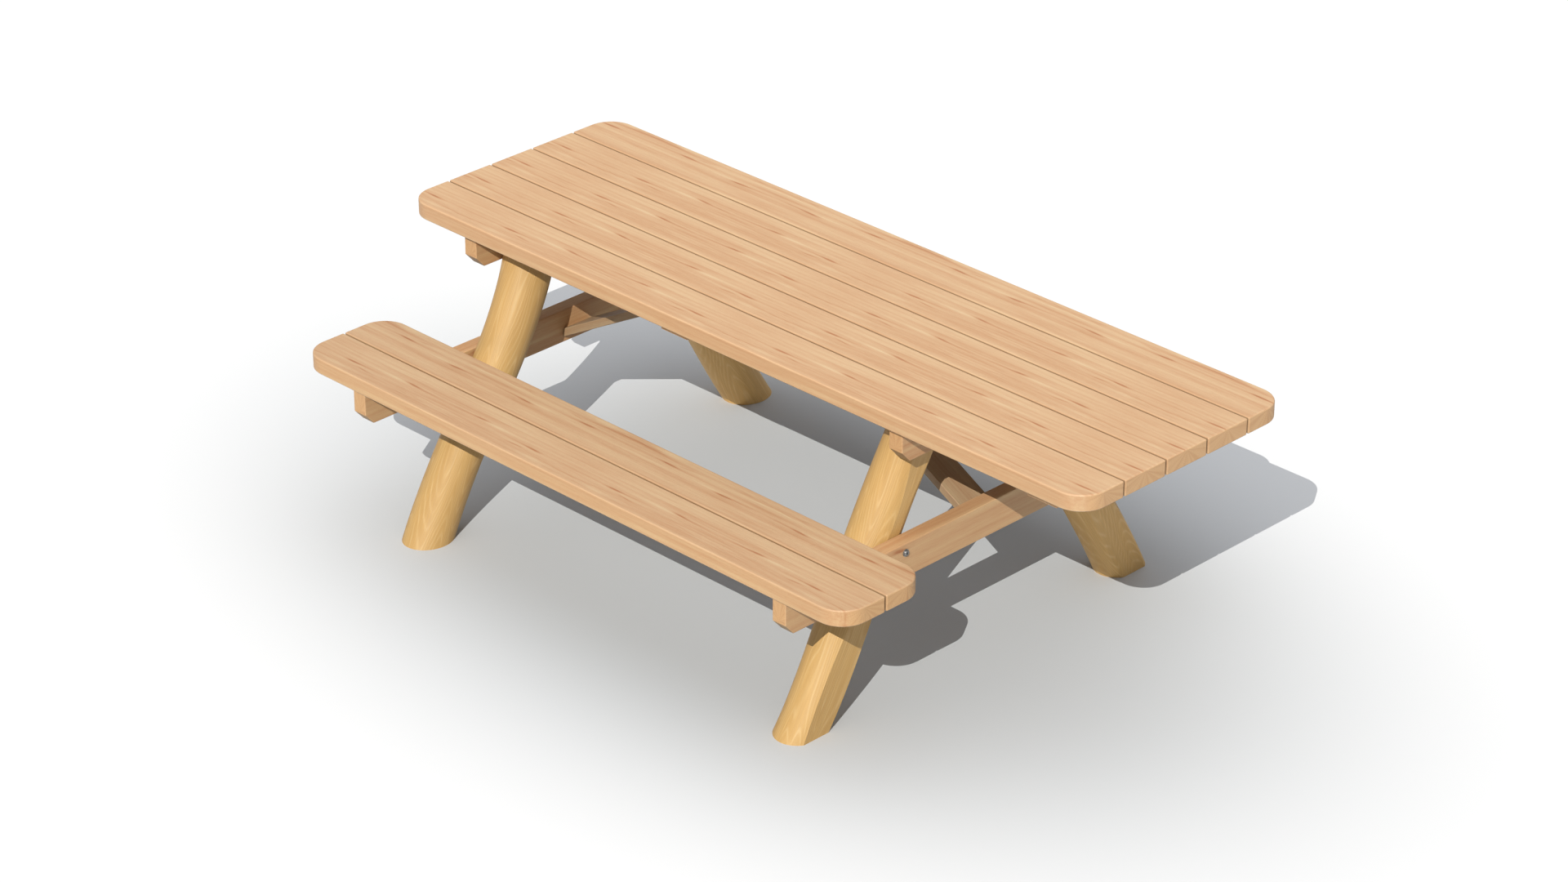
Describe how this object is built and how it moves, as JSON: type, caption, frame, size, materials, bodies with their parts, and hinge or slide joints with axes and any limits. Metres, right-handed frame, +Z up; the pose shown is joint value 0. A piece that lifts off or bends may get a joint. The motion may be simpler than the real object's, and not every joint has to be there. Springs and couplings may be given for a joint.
{
  "type": "picnic table",
  "caption": "Wheelchair-accessible timber picnic table: a boarded top that overhangs at one end, two boarded benches, and crooked round log legs with bolted beams and diagonal braces.",
  "frame": {"origin": "on the ground, below the middle of the table top, which is also the middle of the bounding box", "axes": "+X along the table, towards the overhanging wheelchair end; +Y across it, from the front bench to the rear bench; +Z up"},
  "size_m": [2.4, 1.511, 0.83],
  "materials": {
    "planed_boards": "planed softwood, oiled, matt",
    "planed_beams": "planed softwood, oiled, matt",
    "peeled_logs": "peeled and smoothed round log, oiled, matt",
    "zinc_screws": "zinc plated, dull"
  },
  "bodies": {
    "root": {"batten_screws": "zinc_screws", "bench_board_screws": "zinc_screws", "brace_foot_screws": "zinc_screws", "brace_head_screws": "zinc_screws", "end_batten": "planed_beams", "front_bench_inner_board": "planed_boards", "front_bench_outer_board": "planed_boards", "left_brace": "planed_beams", "left_front_leg": "peeled_logs", "left_rear_leg": "peeled_logs", "left_seat_beam": "planed_beams", "left_top_beam": "planed_beams", "middle_batten": "planed_beams", "rear_bench_inner_board": "planed_boards", "rear_bench_outer_board": "planed_boards", "right_brace": "planed_beams", "right_front_leg": "peeled_logs", "right_rear_leg": "peeled_logs", "right_seat_beam": "planed_beams", "right_top_beam": "planed_beams", "seat_beam_coach_screws": "zinc_screws", "top_beam_coach_screws": "zinc_screws", "top_board_1": "planed_boards", "top_board_2": "planed_boards", "top_board_3": "planed_boards", "top_board_4": "planed_boards", "top_board_5": "planed_boards", "top_board_screws": "zinc_screws"}
  },
  "joints": []
}
